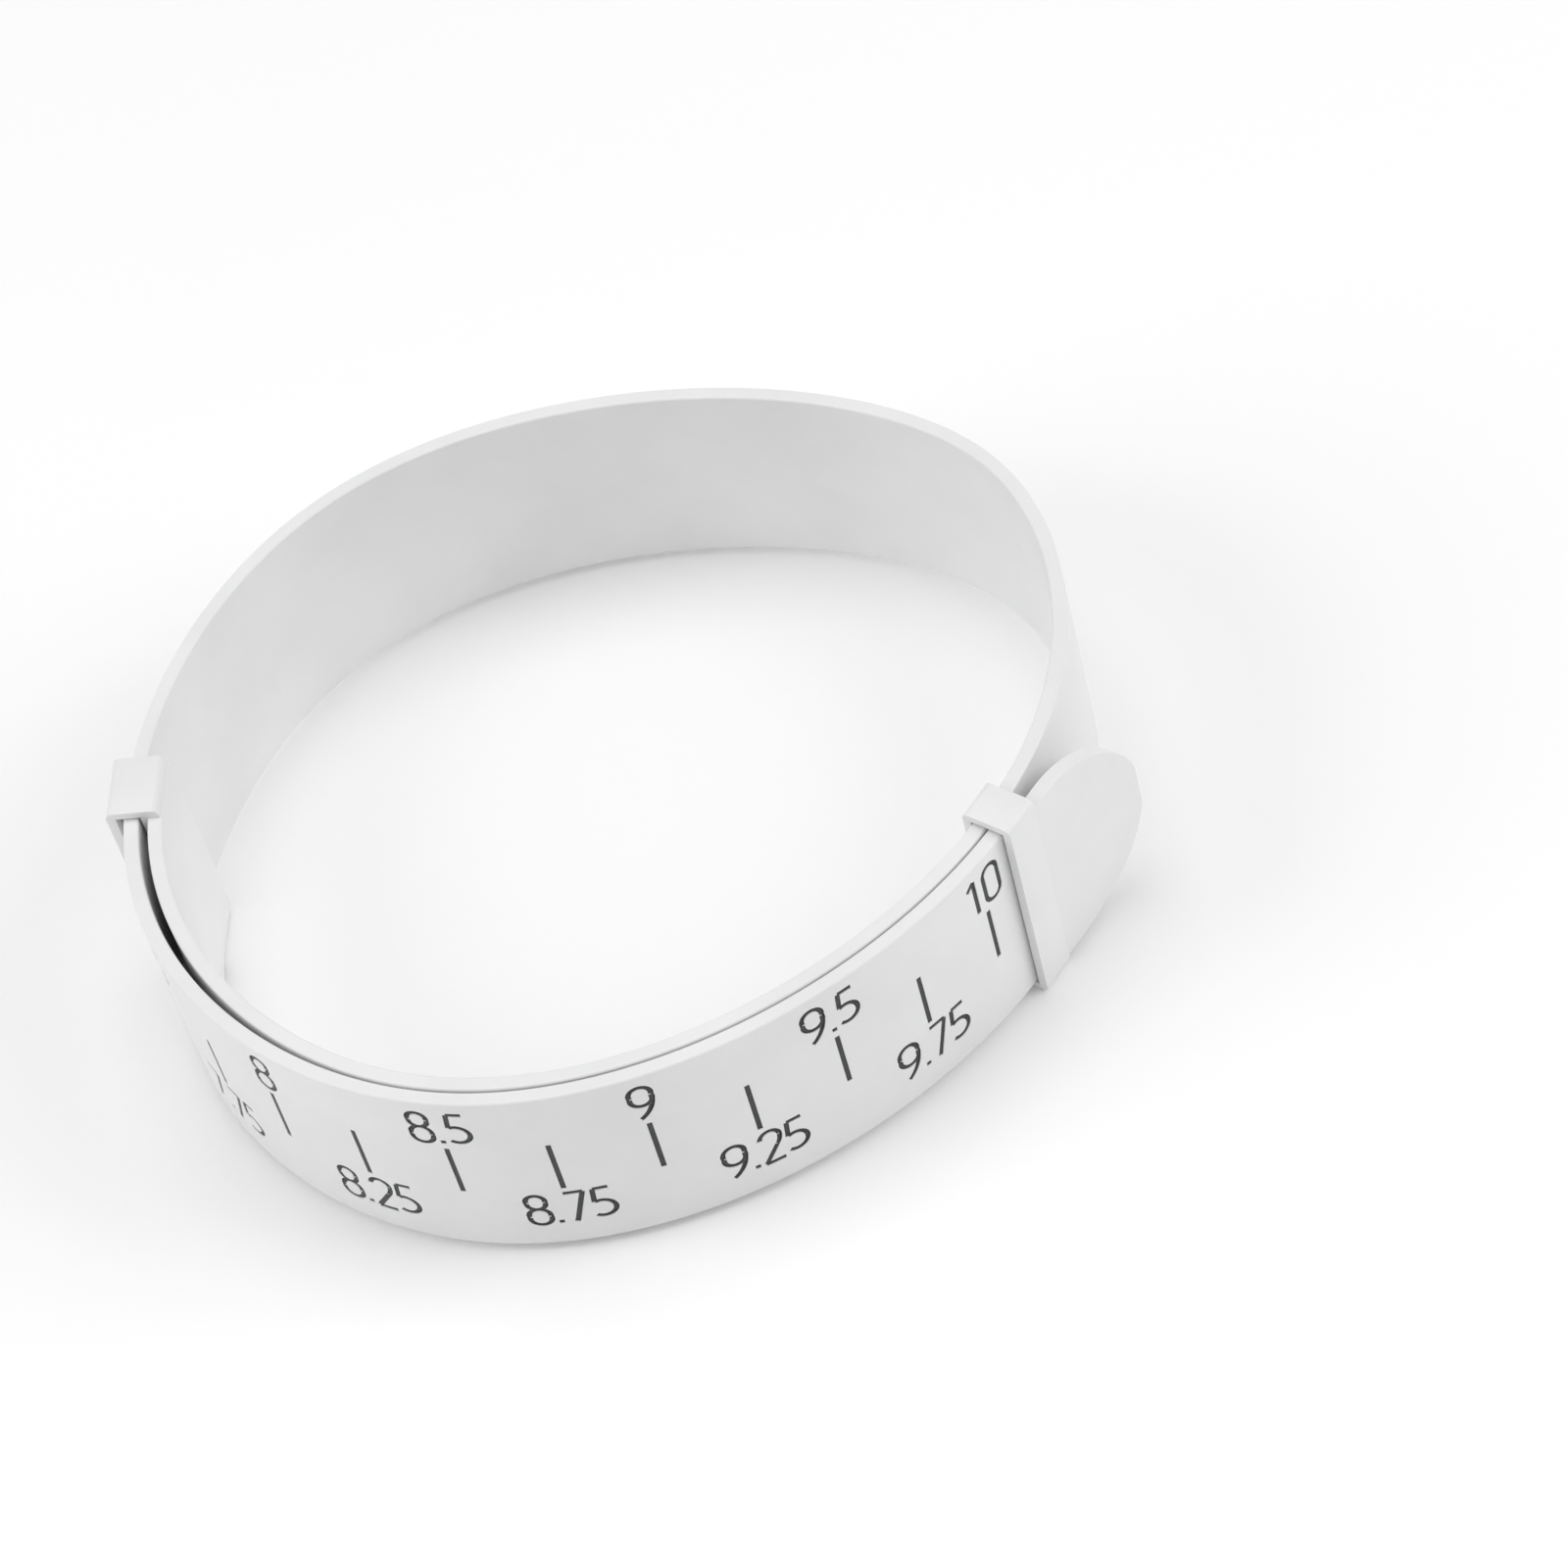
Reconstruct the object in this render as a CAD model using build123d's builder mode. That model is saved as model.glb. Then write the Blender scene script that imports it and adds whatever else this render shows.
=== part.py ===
"""Adjustable wrist sizer: one flexible strap wound into a ring, with a loop at each end and a thumb tab.

The strap is a spiral. Its inner end lies under its outer end along the front, and each end carries a
loop that the other layer slides through. A place on the strap is given as its reading on the printed
scale, in inches from the inner end's loop. The strap's bending is carried by short links that turn on
each other about vertical hinges at mid thickness.

Frame: +Z is the ring's axis, -Y the front with the printed scale, and Z = 0 the surface it stands on.
"""

from build123d import *
import os
from math import cos, pi, radians, sin

# ---------------------------------------------------------------- driving dimensions, in millimetres
INCH = 25.4
ring_size = 7.3  # one turn of the strap at the outer loop, in inches
strap_end = 10.1  # where the outer end's loop starts, in inches along the strap
link_length = 0.5  # inches
first_hinge = 0.375  # inches, so that every hinge falls between two printed numbers
hinge_count = 20

strap_width = 15.6
strap_thickness = 0.95
strap_edge_radius = 0.2
link_gap = 0.22  # between two links, so that they can turn on each other
layer_gap = 0.2  # between the two layers along the front
end_gap = 0.45  # extra gap that opens towards the inner end's loop

outer_loop_angle = -44.2  # direction in which the outer end's loop faces, in degrees
ring_lobes = [  # how the hand-wound ring departs from a circle: waves per turn, height, direction
    (2, 2.03, 17.5),
    (3, 0.62, 9.5),
    (4, 0.15, 30.0),
    (5, 0.19, -31.5),
]

ring_middle = (0.198, -0.537)  # of the whole ring in plan, measured from the axis of its lobes

loop_length = 2.8  # of the outer end's loop, along the strap
inner_loop_length = 4.6
inner_loop_start = -0.03  # where the inner end's loop starts, in inches along the strap
loop_wall = 0.6
loop_play = 0.15  # between a loop and the layer that slides through it
inner_loop_play = 0.4  # the inner end's loop stands further off the printed face
loop_bar = 0.7  # how far a loop stands above and below the strap
loop_corner = 0.5

tab_straight = 1.5  # straight sides of the thumb tab before its round end
tab_bend = 45.0  # radius at which the tab curves away from the ring

scale_first = 6.0
scale_last = 10.0
scale_step = 0.25
tick_low = 5.95
tick_high = 10.75
number_height = 3.2
number_width = 1.35
number_space = 0.38
number_gap = 0.55  # between a tick and its number
point_width = 0.35
stroke = 0.36
engraving_depth = 0.3

# ---------------------------------------------------------------- the strap's line in plan
turn_start = radians(outer_loop_angle - 360)  # the inner layer, level with the outer end's loop
opening_length = radians(60)
opening_start = radians(-172 - 360)
rise_start = turn_start + radians(8)
rise_end = radians(-198)
pitch = strap_thickness + layer_gap
rises = [(opening_start, opening_start + opening_length, end_gap), (rise_start, rise_end, pitch)]


def share_risen(angle, start, end):
    """Smooth step from 0 at start to 1 at end, with its slope, its curve and its area up to angle."""
    span = end - start
    u = min(max((angle - start) / span, 0.0), 1.0)
    area = (u**3 - u**4 / 2) * span + max(angle - end, 0.0)
    return u * u * (3 - 2 * u), 6 * u * (1 - u) / span, area


turn_rise = sum(
    rise * (share_risen(turn_start + 2 * pi, a, b)[2] - share_risen(turn_start, a, b)[2])
    for a, b, rise in rises
)
base_radius = (ring_size * INCH - turn_rise) / (2 * pi)


def reach(angle):
    """Distance from the ring's axis to the mid line's tangent that faces angle."""
    wave = sum(height * cos(count * (angle - radians(way))) for count, height, way in ring_lobes)
    return base_radius + wave + sum(rise * share_risen(angle, a, b)[0] for a, b, rise in rises)


def reach_slope(angle):
    wave = sum(-count * height * sin(count * (angle - radians(way))) for count, height, way in ring_lobes)
    return wave + sum(rise * share_risen(angle, a, b)[1] for a, b, rise in rises)


def line_length(angle):
    """Length of the mid line up to angle."""
    wave = sum(height / count * sin(count * (angle - radians(way))) for count, height, way in ring_lobes)
    area = base_radius * angle + wave
    area += sum(rise * share_risen(angle, a, b)[2] for a, b, rise in rises)
    return area + reach_slope(angle)


def facing(reading):
    """Direction that the strap's outer face has at a reading, in radians."""
    wanted = line_length(radians(outer_loop_angle)) + (reading - strap_end) * INCH
    low = radians(outer_loop_angle - 600)
    high = radians(outer_loop_angle + 120)
    while high - low > 1e-9:
        middle = (low + high) / 2
        if line_length(middle) < wanted:
            low = middle
        else:
            high = middle
    return (low + high) / 2


def place(angle, depth):
    """Point of the strap in plan, depth below its outer face."""
    out = reach(angle) + strap_thickness / 2 - depth
    side = reach_slope(angle)
    x = out * cos(angle) - side * sin(angle) - ring_middle[0]
    y = out * sin(angle) + side * cos(angle) - ring_middle[1]
    return (x, y)


hinges = [first_hinge + link_length * number for number in range(hinge_count)]
strap_bottom = loop_bar
scale_count = round((scale_last - scale_first) / scale_step) + 1
readings = [scale_first + scale_step * number for number in range(scale_count)]


# ---------------------------------------------------------------- the printed scale
half = number_width / 2
top = number_height
digit_lines = {  # each line of a digit by two points, or by three where it is an arc
    ".": [[(0, stroke / 2), (point_width, stroke / 2)]],
    "0": [
        [(0, half), (0, top - half)],
        [(0, top - half), (half, top), (number_width, top - half)],
        [(number_width, top - half), (number_width, half)],
        [(number_width, half), (half, 0), (0, half)],
    ],
    "1": [[(0.25, top - 0.55), (0.85, top)], [(0.85, top), (0.85, 0)]],
    "2": [
        [(0, top - half), (half, top), (number_width, top - half)],
        [(number_width, top - half), (number_width - 0.08, 2.0), (1.05, 1.6)],
        [(1.05, 1.6), (0, 0)],
        [(0, 0), (number_width, 0)],
    ],
    "5": [
        [(1.22, top), (0.22, top)],
        [(0.22, top), (0.1, 1.75)],
        [(0.1, 1.75), (number_width, 1.0), (0, 0.4)],
    ],
    "6": [
        [(0, 0.95), (half, 1.9), (number_width, 0.95)],
        [(number_width, 0.95), (half, 0), (0, 0.95)],
        [(0, 0.95), (0.26, 2.3), (1.05, top)],
    ],
    "7": [[(0.1, top), (number_width, top)], [(number_width, top), (0.42, 0)]],
    "8": [
        [(0.08, 2.4), (half, top), (number_width - 0.08, 2.4)],
        [(number_width - 0.08, 2.4), (half, 1.7), (0.08, 2.4)],
        [(0, 0.85), (half, 1.7), (number_width, 0.85)],
        [(number_width, 0.85), (half, 0), (0, 0.85)],
    ],
    "9": [
        [(0, 2.25), (half, top), (number_width, 2.25)],
        [(number_width, 2.25), (half, 1.3), (0, 2.25)],
        [(number_width, 2.25), (1.09, 0.9), (0.3, 0)],
    ],
}


def line_of(points):
    return Edge.make_line(*points) if len(points) == 2 else Edge.make_three_point_arc(*points)


def drawn_mark(reading):
    """Sketch of a tick and its number, with the tick on its vertical axis and Y from the ring's base."""
    low = strap_bottom + tick_low
    high = strap_bottom + tick_high
    text = f"{reading:g}"
    widths = [point_width if letter == "." else number_width for letter in text]
    x = -(sum(widths) + number_space * (len(text) - 1)) / 2
    whole_or_half = (reading * 2) % 1 == 0
    y = high + number_gap if whole_or_half else low - number_gap - number_height
    with BuildSketch() as drawing:
        trace(line_of([(0, low), (0, high)]), line_width=stroke)
        for letter, width in zip(text, widths):
            for points in digit_lines[letter]:
                trace(line_of([(x + px, y + py) for px, py in points]), line_width=stroke)
            x += width + number_space
    return drawing.sketch


def face_plane(reading):
    """Plane on the strap's outer face, facing out, with its X along the strap and its Y up."""
    angle = facing(reading)
    return Plane(
        origin=(*place(angle, 0), 0), x_dir=(-sin(angle), cos(angle), 0), z_dir=(cos(angle), sin(angle), 0)
    )


# ---------------------------------------------------------------- the strap and its marks
def strap_outline(start, end, depth):
    """Plan outline of the strap between two readings, from its outer face down to a depth."""
    angles = [facing(start), facing((start + end) / 2), facing(end)]
    with BuildSketch(Plane.XY.offset(strap_bottom)) as outline:
        with BuildLine():
            outer = ThreePointArc(*[place(angle, 0) for angle in angles])
            inner = ThreePointArc(*[place(angle, depth) for angle in angles])
            Line(outer @ 0, inner @ 0)
            Line(outer @ 1, inner @ 1)
        make_face()
    return outline.sketch


def save(piece, name):
    piece.part.label = name
    export_step(piece.part, f"parts/{name}.step")


def make_strap(name, start, end):
    """One stretch of the strap, with the marks that fall on it let into its outer face."""
    outline = strap_outline(start, end, strap_thickness)
    skin = strap_outline(start, end, engraving_depth)
    marks = []
    for reading in [reading for reading in readings if start < reading < end]:
        with BuildPart() as mark:
            add(skin)
            extrude(amount=strap_width)
            with BuildSketch(face_plane(reading)):
                add(drawn_mark(reading))
            extrude(amount=-strap_thickness, mode=Mode.INTERSECT)
        save(mark, "mark_" + f"{reading:.2f}".replace(".", "_"))
        marks.append(mark.part)
    with BuildPart() as strap:
        add(outline)
        extrude(amount=strap_width)
        fillet(strap.edges().filter_by(GeomType.CIRCLE), strap_edge_radius)
        for mark in marks:
            add(mark, mode=Mode.SUBTRACT)
    save(strap, name)
    return strap


# ---------------------------------------------------------------- loops and thumb tabs
def loop_plane(reading, ahead, length):
    """Plane at a loop's mouth: X points into the ring from the strap's outer face, and Z along the loop."""
    angle = facing(reading + ahead * length / 2 / INCH)
    middle = Vector(*place(angle, 0), strap_bottom + strap_width / 2)
    along = Vector(-sin(angle), cos(angle), 0) * ahead
    return Plane(
        origin=middle - along * (length / 2), x_dir=(-cos(angle), -sin(angle), 0), z_dir=along
    )


def make_loop(name, mouth, length, outer_face, inner_face, tunnels, strap):
    """Loop between two depths, with (start, end, length) tunnels, bonded round the strap's end."""
    with BuildPart() as loop:
        with BuildSketch(mouth):
            with Locations(((outer_face + inner_face) / 2, 0)):
                RectangleRounded(inner_face - outer_face, strap_width + 2 * loop_bar, loop_corner)
        extrude(amount=length)
        for start, end, far in tunnels:
            with BuildSketch(mouth):
                with Locations(((start + end) / 2, 0)):
                    Rectangle(end - start, strap_width + 2 * loop_play)
            extrude(amount=far, mode=Mode.SUBTRACT)
        add(strap.part, mode=Mode.SUBTRACT)
    save(loop, name)


def make_tab(name, mouth, depth, strap):
    """Round-ended tab behind the outer end's loop, curving out of the ring."""
    radius = strap_width / 2
    root = mouth.origin + mouth.z_dir * loop_length
    turn = (tab_straight + radius) / tab_bend
    with BuildPart() as tab:
        with BuildSketch(Plane(origin=root, x_dir=mouth.z_dir, z_dir=mouth.z_dir.cross(mouth.x_dir))):
            with BuildLine():
                faces = []
                for level in (depth, depth + strap_thickness):
                    points = [
                        ((tab_bend + level) * sin(turn * share), (tab_bend + level) * cos(turn * share) - tab_bend)
                        for share in (0.0, 0.5, 1.0)
                    ]
                    faces.append(ThreePointArc(*points))
                Line(faces[0] @ 0, faces[1] @ 0)
                Line(faces[0] @ 1, faces[1] @ 1)
            make_face()
        extrude(amount=radius, both=True)
        with BuildSketch(Plane(origin=root, x_dir=mouth.z_dir, z_dir=mouth.x_dir)):
            with Locations((tab_straight / 2, 0)):
                Rectangle(tab_straight, strap_width)
            with Locations((tab_straight, 0)):
                Circle(radius)
        extrude(amount=strap_width, both=True, mode=Mode.INTERSECT)
        add(strap.part, mode=Mode.SUBTRACT)
    save(tab, name)


os.makedirs("parts", exist_ok=True)
half_gap = link_gap / 2 / INCH
strap_start = inner_loop_start - inner_loop_length / INCH

inner_end = make_strap("inner_end_strap", strap_start, hinges[0] - half_gap)
for number in range(1, hinge_count):
    make_strap(f"strap_link_{number:02d}", hinges[number - 1] + half_gap, hinges[number] - half_gap)
outer_end = make_strap("outer_end_strap", hinges[-1] + half_gap, strap_end + loop_length / INCH)

# The inner end's loop stands out round the outer layer, and the strap's own end closes it.
inner_mouth = loop_plane(inner_loop_start, -1, inner_loop_length)
passing_face = -(pitch + end_gap)
make_loop(
    "inner_loop",
    inner_mouth,
    inner_loop_length,
    passing_face - inner_loop_play - loop_wall,
    strap_thickness,
    [(passing_face - inner_loop_play, -(layer_gap + end_gap) / 2, inner_loop_length)],
    inner_end,
)

# The outer end's loop is a closed tube. Its far half holds the strap's end, and the inner layer slides
# through it.
outer_mouth = loop_plane(strap_end, 1, loop_length)
tunnel_floor = pitch + strap_thickness + loop_play
make_loop(
    "outer_loop",
    outer_mouth,
    loop_length,
    -loop_play - loop_wall,
    tunnel_floor + loop_wall,
    [(-loop_play, tunnel_floor, loop_length / 2), (strap_thickness / 2, tunnel_floor, loop_length)],
    outer_end,
)
make_tab("thumb_tab", outer_mouth, -loop_play - loop_wall, outer_end)
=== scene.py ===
import bpy
import bmesh
from math import cos, pi, radians, sin
from mathutils import Matrix, Vector


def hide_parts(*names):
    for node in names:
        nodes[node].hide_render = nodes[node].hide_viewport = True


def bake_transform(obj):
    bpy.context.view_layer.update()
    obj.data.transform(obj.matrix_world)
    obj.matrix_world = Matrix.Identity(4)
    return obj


# Looks of the adjustable wrist sizer: a white satin strap with an engraved and painted inch scale, two loops
# and one thumb tab. The shown strap is rebuilt from the CAD's own line, one piece for each hinge.

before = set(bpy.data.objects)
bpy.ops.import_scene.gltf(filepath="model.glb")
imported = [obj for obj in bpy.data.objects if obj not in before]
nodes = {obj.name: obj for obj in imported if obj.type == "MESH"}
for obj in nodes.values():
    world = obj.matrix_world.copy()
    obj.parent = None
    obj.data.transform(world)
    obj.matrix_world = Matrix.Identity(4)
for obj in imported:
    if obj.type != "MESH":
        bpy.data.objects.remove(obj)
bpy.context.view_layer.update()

# ---------------------------------------------------------------- the strap's line, in millimetres, as in the CAD
MM = 0.001
INCH = 25.4
RING_SIZE = 7.3
STRAP_END = 10.1
WIDTH = 15.6
THICK = 0.95
SHOWN = 1.01  # the shown strap's thickness: the two layers look pressed together along the front
EDGE = 0.17  # radius of the shown strap's edges
LAYER_GAP = 0.2
END_GAP = 0.45
LOBES = [(2, 2.03, 17.5), (3, 0.62, 9.5), (4, 0.15, 30.0), (5, 0.19, -31.5)]
RING_MIDDLE = (0.198, -0.537)
OUTER_LOOP_ANGLE = -44.2
LOOP_LENGTH = 2.8
BOTTOM = 0.7
STRAP_START = -0.03 - 4.6 / INCH
LINK = 0.5  # inches along the strap
HALF_LINK = 0.25
HINGES = [0.375 + LINK * k for k in range(20)]
RECESS = 0.07  # how far the paint lies below the strap's face
POCKET = 0.2  # depth of the shown engraving
PAINT_OVERLAP = 0.05  # how far the paint runs into the pocket's floor
CUTTER_RISE = 0.1  # how far a pocket's cutter stands out of the face
ROW_STEP = 0.02  # inches along the strap from one row of vertices to the next
LOOK_MARGIN = 0.05  # radians past a piece's ends in which its vertices are looked up
LOOP_EDGE = 0.00028  # metres, the round edges of the loops and the tab

turn_start = radians(OUTER_LOOP_ANGLE - 360)
opening_start = radians(-172 - 360)
pitch = THICK + LAYER_GAP
rises = [
    (opening_start, opening_start + radians(60), END_GAP),
    (turn_start + radians(8), radians(-198), pitch),
]


def share_risen(angle, start, end):
    """Smooth step from 0 at start to 1 at end, with its slope and its area up to angle."""
    span = end - start
    u = min(max((angle - start) / span, 0.0), 1.0)
    area = (u**3 - u**4 / 2) * span + max(angle - end, 0.0)
    return u * u * (3 - 2 * u), 6 * u * (1 - u) / span, area


turn_rise = sum(
    rise * (share_risen(turn_start + 2 * pi, a, b)[2] - share_risen(turn_start, a, b)[2])
    for a, b, rise in rises
)
base_radius = (RING_SIZE * INCH - turn_rise) / (2 * pi)


def reach(angle):
    """Distance from the ring's axis to the mid line's tangent that faces angle."""
    wave = sum(h * cos(m * (angle - radians(way))) for m, h, way in LOBES)
    return base_radius + wave + sum(rise * share_risen(angle, a, b)[0] for a, b, rise in rises)


def reach_slope(angle):
    wave = sum(-m * h * sin(m * (angle - radians(way))) for m, h, way in LOBES)
    return wave + sum(rise * share_risen(angle, a, b)[1] for a, b, rise in rises)


def line_length(angle):
    """Length of the mid line up to angle."""
    area = base_radius * angle + sum(h / m * sin(m * (angle - radians(way))) for m, h, way in LOBES)
    area += sum(rise * share_risen(angle, a, b)[2] for a, b, rise in rises)
    return area + reach_slope(angle)


def facing(reading):
    """Direction of the strap's outer face at a reading in inches, in radians."""
    wanted = line_length(radians(OUTER_LOOP_ANGLE)) + (reading - STRAP_END) * INCH
    low = radians(OUTER_LOOP_ANGLE - 600)
    high = radians(OUTER_LOOP_ANGLE + 120)
    while high - low > 1e-9:
        middle = (low + high) / 2
        if line_length(middle) < wanted:
            low = middle
        else:
            high = middle
    return (low + high) / 2


def place(angle, depth, z=0.0):
    """Point in metres, depth millimetres below the strap's outer face."""
    out = reach(angle) + THICK / 2 - depth
    side = reach_slope(angle)
    x = out * cos(angle) - side * sin(angle) - RING_MIDDLE[0]
    y = out * sin(angle) + side * cos(angle) - RING_MIDDLE[1]
    return Vector((x * MM, y * MM, z * MM))


def locate(point, low, high):
    """Angle between low and high at which the strap passes a point, and the point's depth in millimetres."""
    x = point[0] / MM + RING_MIDDLE[0]
    y = point[1] / MM + RING_MIDDLE[1]
    for _ in range(40):
        middle = (low + high) / 2
        if -x * sin(middle) + y * cos(middle) > reach_slope(middle):
            low = middle
        else:
            high = middle
    angle = (low + high) / 2
    return angle, reach(angle) + THICK / 2 - (x * cos(angle) + y * sin(angle))


# ---------------------------------------------------------------- materials
def new_material(name):
    material = bpy.data.materials.new(name)
    material.use_nodes = True
    tree = material.node_tree
    return material, tree, tree.nodes["Principled BSDF"]


def texture(tree, kind, scale, **settings):
    coordinates = tree.nodes.new("ShaderNodeTexCoord")
    node = tree.nodes.new(kind)
    tree.links.new(coordinates.outputs["Object"], node.inputs["Vector"])
    node.inputs["Scale"].default_value = scale
    for name, value in settings.items():
        node.inputs[name.replace("_", " ")].default_value = value
    return node


def ramp(tree, source, stops):
    node = tree.nodes.new("ShaderNodeValToRGB")
    tree.links.new(source, node.inputs["Fac"])
    node.color_ramp.elements[0].position, node.color_ramp.elements[0].color = stops[0][0], (*stops[0][1], 1)
    node.color_ramp.elements[1].position, node.color_ramp.elements[1].color = stops[1][0], (*stops[1][1], 1)
    return node.outputs["Color"]


def spread(tree, source, low, high):
    node = tree.nodes.new("ShaderNodeMapRange")
    tree.links.new(source, node.inputs["Value"])
    node.inputs["To Min"].default_value = low
    node.inputs["To Max"].default_value = high
    return node.outputs["Result"]


def white_plastic():
    """Satin injection-moulded white: faint cloudiness, fine moulded grain and a few handling marks."""
    material, tree, shader = new_material("strap_white")
    link = tree.links.new
    cloud = texture(tree, "ShaderNodeTexNoise", 90.0, Detail=4.0, Roughness=0.55)
    colour = ramp(tree, cloud.outputs["Fac"], [(0.3, (0.785, 0.785, 0.79)), (0.72, (0.845, 0.845, 0.848))])
    link(colour, shader.inputs["Base Color"])
    smear = texture(tree, "ShaderNodeTexNoise", 420.0, Detail=5.0, Roughness=0.6)
    link(spread(tree, smear.outputs["Fac"], 0.30, 0.44), shader.inputs["Roughness"])
    grain = texture(tree, "ShaderNodeTexNoise", 5200.0, Detail=3.0, Roughness=0.5)
    fine = tree.nodes.new("ShaderNodeBump")
    fine.inputs["Strength"].default_value = 0.10
    fine.inputs["Distance"].default_value = 0.00004
    link(grain.outputs["Fac"], fine.inputs["Height"])
    wave = texture(tree, "ShaderNodeTexNoise", 260.0, Detail=2.0, Roughness=0.4)
    broad = tree.nodes.new("ShaderNodeBump")
    broad.inputs["Strength"].default_value = 0.12
    broad.inputs["Distance"].default_value = 0.00012
    link(wave.outputs["Fac"], broad.inputs["Height"])
    link(fine.outputs["Normal"], broad.inputs["Normal"])
    link(broad.outputs["Normal"], shader.inputs["Normal"])
    shader.inputs["IOR"].default_value = 1.49
    shader.inputs["Subsurface Weight"].default_value = 0.35
    shader.inputs["Subsurface Radius"].default_value = (0.0016, 0.0015, 0.0014)
    return material


def black_paint():
    """Paint wiped into the engraving: dark, slightly glossy, thinner in places."""
    material, tree, shader = new_material("scale_paint")
    link = tree.links.new
    thin = texture(tree, "ShaderNodeTexNoise", 1500.0, Detail=4.0, Roughness=0.6)
    colour = ramp(tree, thin.outputs["Fac"], [(0.35, (0.012, 0.012, 0.014)), (0.8, (0.035, 0.035, 0.04))])
    link(colour, shader.inputs["Base Color"])
    link(spread(tree, thin.outputs["Fac"], 0.28, 0.5), shader.inputs["Roughness"])
    bump = tree.nodes.new("ShaderNodeBump")
    bump.inputs["Strength"].default_value = 0.25
    bump.inputs["Distance"].default_value = 0.00003
    link(thin.outputs["Fac"], bump.inputs["Height"])
    link(bump.outputs["Normal"], shader.inputs["Normal"])
    return material


WHITE = white_plastic()
BLACK = black_paint()


# ---------------------------------------------------------------- meshes
def mesh_object(name, mesh, material):
    obj = bpy.data.objects.new(name, mesh)
    bpy.context.scene.collection.objects.link(obj)
    mesh.materials.clear()
    mesh.materials.append(material)
    return obj


def section():
    """The strap's section as (depth, height) in millimetres, anticlockwise, with round edges."""
    points = []
    near, far, high = EDGE, SHOWN - EDGE, WIDTH - EDGE
    corners = [(near, EDGE, 180), (far, EDGE, 270), (far, high, 0), (near, high, 90)]
    for depth, height, start in corners:
        for step in range(5):
            turn = radians(start + 22.5 * step)
            points.append((depth + EDGE * cos(turn), height + EDGE * sin(turn)))
    return points


def section_normal(depth, height, outward):
    """Normal of the strap's surface at a depth and height."""
    across = max(EDGE - depth, 0.0) - max(depth - SHOWN + EDGE, 0.0)
    up = max(height - WIDTH + EDGE, 0.0) - max(EDGE - height, 0.0)
    return (outward * across + Vector((0, 0, 1)) * up).normalized()


def marks_between(low, high):
    return [r / 4 for r in range(24, 41) if low < r / 4 < high]


def node_of(reading):
    return "mark_" + f"{reading:.2f}".replace(".", "_")


def mark_mesh(reading, low, high, top, floor):
    """The CAD mark as one closed mesh whose outer face lies at depth top and whose floor lies at depth floor."""
    mesh = nodes[node_of(reading)].data.copy()
    work = bmesh.new()
    work.from_mesh(mesh)
    bmesh.ops.remove_doubles(work, verts=work.verts, dist=2e-7)
    for vert in work.verts:
        angle, depth = locate(vert.co, low, high)
        outward = Vector((cos(angle), sin(angle), 0))
        wanted = top if depth < 0.15 else floor
        vert.co += outward * (depth - wanted) * MM
    work.to_mesh(mesh)
    work.free()
    return mesh


def strap_mesh(low_reading, high_reading):
    """The strap between two readings as one closed mesh."""
    steps = max(8, round((high_reading - low_reading) / ROW_STEP))
    profile = section()
    work = bmesh.new()
    rows = []
    for step in range(steps + 1):
        angle = facing(low_reading + (high_reading - low_reading) * step / steps)
        rows.append([work.verts.new(place(angle, depth, BOTTOM + height)) for depth, height in profile])
    for first, second in zip(rows, rows[1:]):
        for index in range(len(profile)):
            after = (index + 1) % len(profile)
            work.faces.new((first[index], first[after], second[after], second[index]))
    work.faces.new(list(reversed(rows[0])))
    work.faces.new(rows[-1])
    bmesh.ops.recalc_face_normals(work, faces=work.faces)
    mesh = bpy.data.meshes.new("strap")
    work.to_mesh(mesh)
    work.free()
    return mesh


def shade(mesh, low, high, open_start, open_end):
    """Gives the strap's surface its true normals, and takes away the faces where two stretches meet."""
    work = bmesh.new()
    work.from_mesh(mesh)
    caps = []
    for face in work.faces:
        angle, _ = locate(face.calc_center_median(), low - LOOK_MARGIN, high + LOOK_MARGIN)
        tangent = Vector((-sin(angle), cos(angle), 0))
        if face.normal.dot(tangent) < -0.99 and abs(angle - low) < 1e-4 and open_start:
            caps.append(face)
        if face.normal.dot(tangent) > 0.99 and abs(angle - high) < 1e-4 and open_end:
            caps.append(face)
    bmesh.ops.delete(work, geom=caps, context="FACES")
    work.to_mesh(mesh)
    work.free()
    known = {}
    for vert in mesh.vertices:
        angle, depth = locate(vert.co, low - LOOK_MARGIN, high + LOOK_MARGIN)
        outward = Vector((cos(angle), sin(angle), 0))
        height = vert.co.z / MM - BOTTOM
        inside = EDGE + 0.001 < height < WIDTH - EDGE - 0.001
        if depth < 0.02 and inside:
            known[vert.index] = outward
        elif depth > SHOWN - 0.02 and inside:
            known[vert.index] = -outward
        elif not inside:
            known[vert.index] = section_normal(depth, height, outward)
    normals = []
    for polygon in mesh.polygons:
        for corner in polygon.loop_indices:
            true = known.get(mesh.loops[corner].vertex_index)
            fits = true is not None and true.length > 0.5 and true.dot(polygon.normal) > 0.7
            normals.append(true if fits else polygon.normal.copy())
    mesh.polygons.foreach_set("use_smooth", [True] * len(mesh.polygons))
    mesh.normals_split_custom_set(normals)


def carved(obj, cutters):
    """The object's mesh with the cutters taken out."""
    for cutter in cutters:
        modifier = obj.modifiers.new("carve", "BOOLEAN")
        modifier.operation = "DIFFERENCE"
        modifier.solver = "EXACT"
        modifier.object = cutter
    graph = bpy.context.evaluated_depsgraph_get()
    graph.update()
    mesh = bpy.data.meshes.new_from_object(obj.evaluated_get(graph))
    obj.modifiers.clear()
    old = obj.data
    obj.data = mesh
    bpy.data.meshes.remove(old)
    for cutter in cutters:
        bpy.data.objects.remove(cutter)


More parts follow.
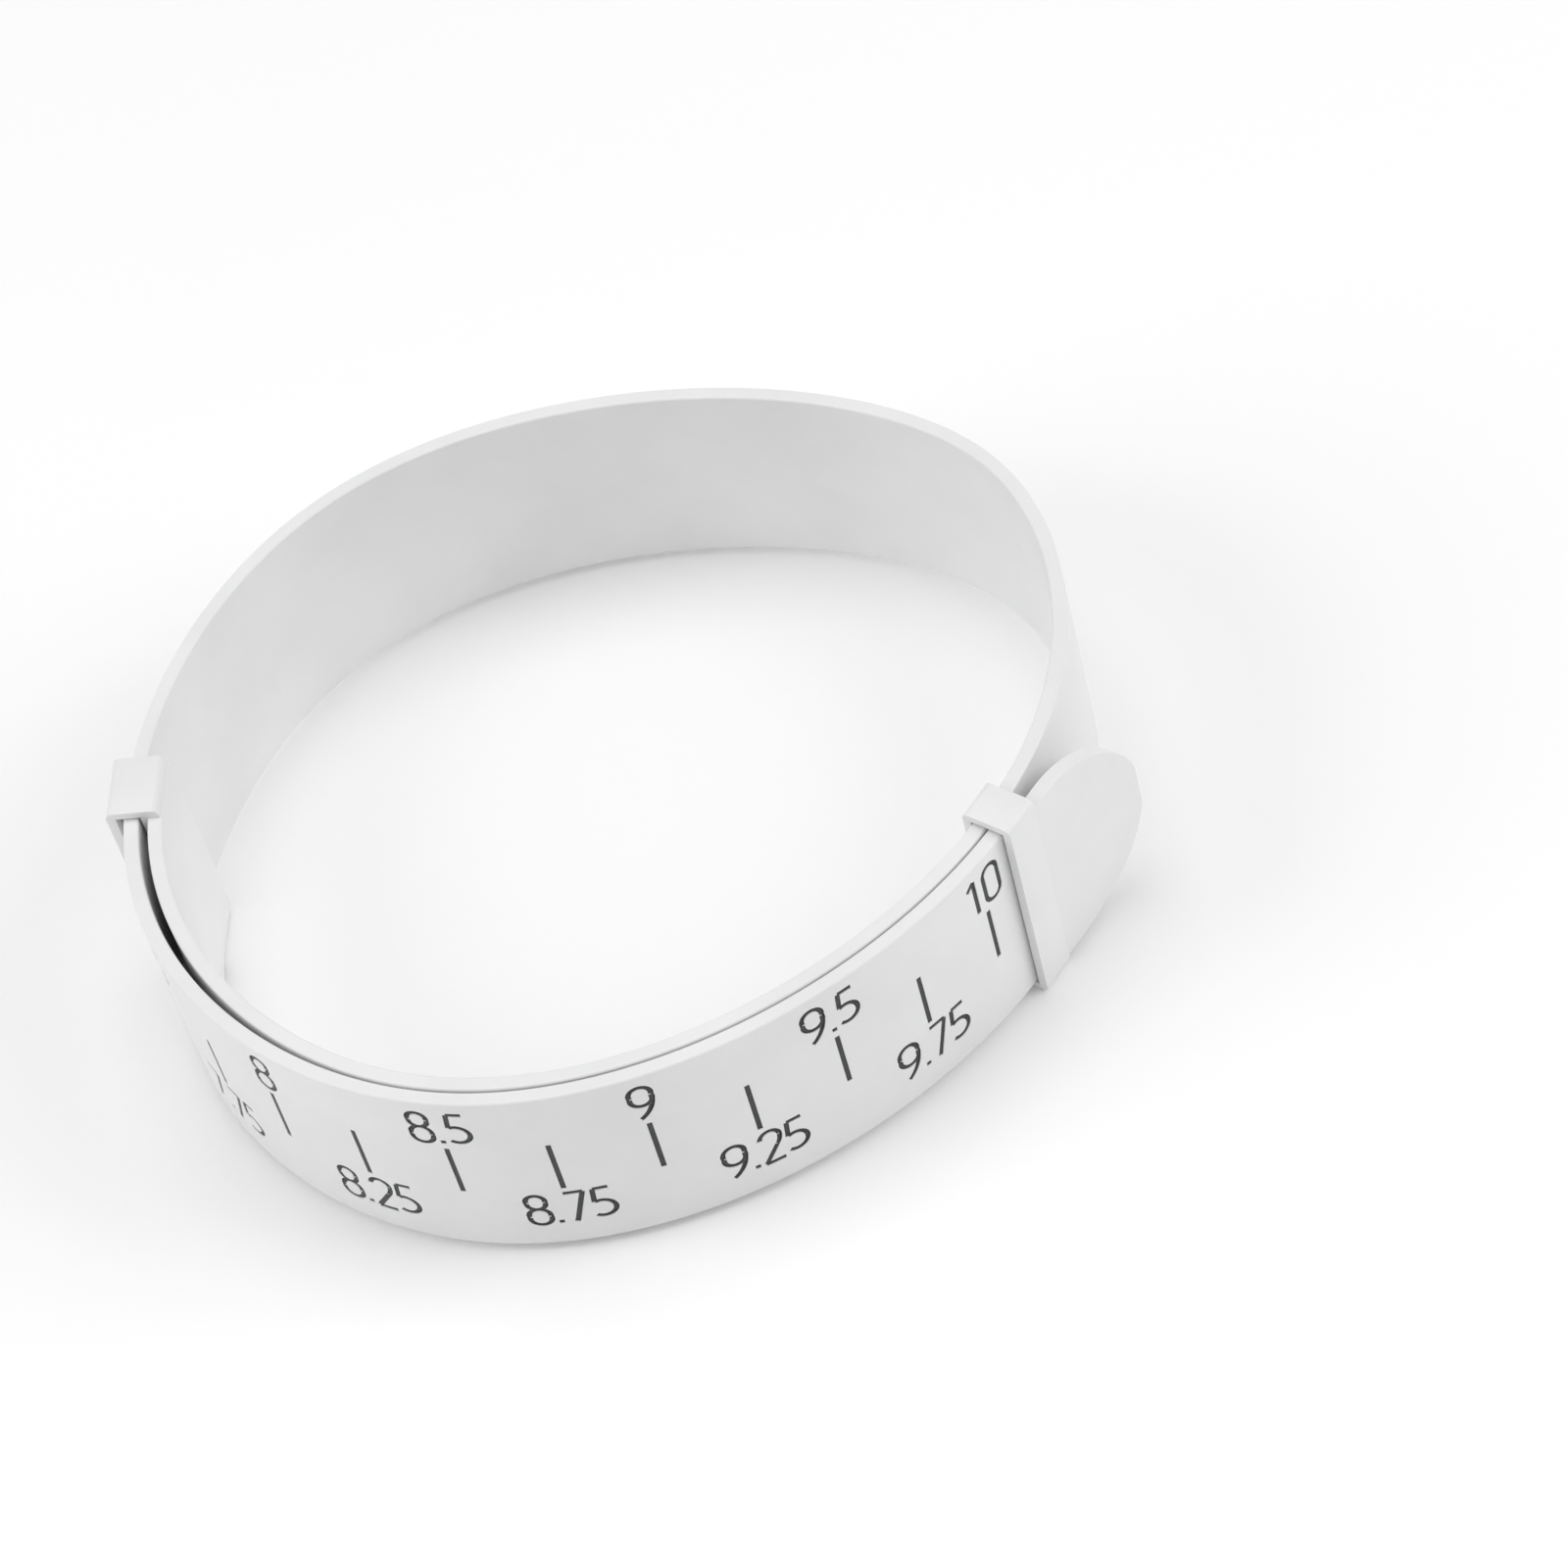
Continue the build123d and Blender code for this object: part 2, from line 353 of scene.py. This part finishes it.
for k, hinge in enumerate(HINGES):
    first = k == 0
    last = k == len(HINGES) - 1
    start = STRAP_START if first else hinge - HALF_LINK
    end = STRAP_END + LOOP_LENGTH / INCH if last else hinge + HALF_LINK
    low, high = facing(start), facing(end)
    strap = mesh_object(f"strap_{k + 1:02d}", strap_mesh(start, end), WHITE)
    inks = []
    cutters = []
    for reading in marks_between(start, end):
        pocket = mark_mesh(reading, low, high, -CUTTER_RISE, POCKET)
        cutters.append(mesh_object("cutter", pocket, WHITE))
        ink_mesh = mark_mesh(reading, low, high, RECESS, POCKET + PAINT_OVERLAP)
        ink = mesh_object("paint_" + f"{reading:.2f}".replace(".", "_"), ink_mesh, BLACK)
        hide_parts(node_of(reading))
        inks.append(ink)
    if cutters:
        carved(strap, cutters)
    shade(strap.data, low, high, not first, not last)
    replaced = ["inner_end_strap"] if first else [f"strap_link_{k:02d}"]
    if last:
        replaced.append("outer_end_strap")
    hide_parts(*replaced)
    blend_start = place(facing(hinge - HALF_LINK), THICK / 2)
    blend_end = place(facing(hinge + HALF_LINK), THICK / 2)
    for piece in [strap] + inks:
        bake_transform(piece)


# ---------------------------------------------------------------- loops and tab
for name in ("inner_loop", "outer_loop", "thumb_tab"):
    node = nodes[name]
    node.data.materials.clear()
    node.data.materials.append(WHITE)
    weld = node.modifiers.new("weld", "WELD")
    weld.merge_threshold = 1e-6
    bevel = node.modifiers.new("bevel", "BEVEL")
    bevel.width = LOOP_EDGE
    bevel.segments = 4
    bevel.limit_method = "ANGLE"
    bevel.angle_limit = radians(35)
    bevel.harden_normals = True
    node.data.polygons.foreach_set("use_smooth", [True] * len(node.data.polygons))

# ---------------------------------------------------------------- floor, light and camera
floor_mesh = bpy.data.meshes.new("floor")
floor_mesh.from_pydata([(-3, -3, 0), (3, -3, 0), (3, 3, 0), (-3, 3, 0)], [], [(0, 1, 2, 3)])
floor = bpy.data.objects.new("floor", floor_mesh)
bpy.context.scene.collection.objects.link(floor)
floor.location.z = -0.00001
floor_material, floor_tree, floor_shader = new_material("floor_white")
floor_tone = texture(floor_tree, "ShaderNodeTexNoise", 3.0, Detail=2.0)
floor_colour = ramp(floor_tree, floor_tone.outputs["Fac"], [(0.3, (0.97, 0.97, 0.97)), (0.7, (0.99, 0.99, 0.99))])
floor_tree.links.new(floor_colour, floor_shader.inputs["Base Color"])
floor_shader.inputs["Roughness"].default_value = 0.8
floor_mesh.materials.append(floor_material)

world = bpy.data.worlds.new("studio")
bpy.context.scene.world = world
world.use_nodes = True
world.node_tree.nodes["Background"].inputs["Color"].default_value = (1, 1, 1, 1)
world.node_tree.nodes["Background"].inputs["Strength"].default_value = 0.48


def area_light(name, location, target, size, power):
    data = bpy.data.lights.new(name, "AREA")
    data.shape = "RECTANGLE"
    data.size, data.size_y = size
    data.energy = power
    light = bpy.data.objects.new(name, data)
    bpy.context.scene.collection.objects.link(light)
    light.location = location
    light.rotation_euler = (Vector(target) - Vector(location)).to_track_quat("-Z", "Y").to_euler()


area_light("left", (-0.50, -0.05, 0.38), (0, 0, 0.008), (0.35, 0.45), 1.25)
area_light("right", (0.50, -0.08, 0.38), (0, 0, 0.008), (0.35, 0.45), 1.35)
area_light("top", (0.0, 0.10, 0.60), (0, 0, 0.008), (0.35, 0.35), 0.8)

camera_data = bpy.data.cameras.new("camera")
camera_data.sensor_width = 36
camera_data.lens = 36 * 5594.56 / 1600  # focal length as a share of the picture's width
camera_data.clip_start = 0.01
camera = bpy.data.objects.new("camera", camera_data)
bpy.context.scene.collection.objects.link(camera)
azimuth, elevation, roll, distance = radians(4.2207), radians(50.6268), radians(-16.4190), 0.52346
target = Vector((0.002533, 0.103928, -0.120993))
back = Vector((sin(azimuth) * cos(elevation), -cos(azimuth) * cos(elevation), sin(elevation)))
right = (-back).cross(Vector((0, 0, 1))).normalized()
up = right.cross(-back)
turned_right = right * cos(roll) + up * sin(roll)
turned_up = up * cos(roll) - right * sin(roll)
columns = (turned_right, turned_up, back, target + back * distance)
camera.matrix_world = Matrix([[column[row] for column in columns] for row in range(3)] + [[0, 0, 0, 1]])
bpy.context.scene.camera = camera
bpy.context.scene.view_settings.view_transform = "Standard"
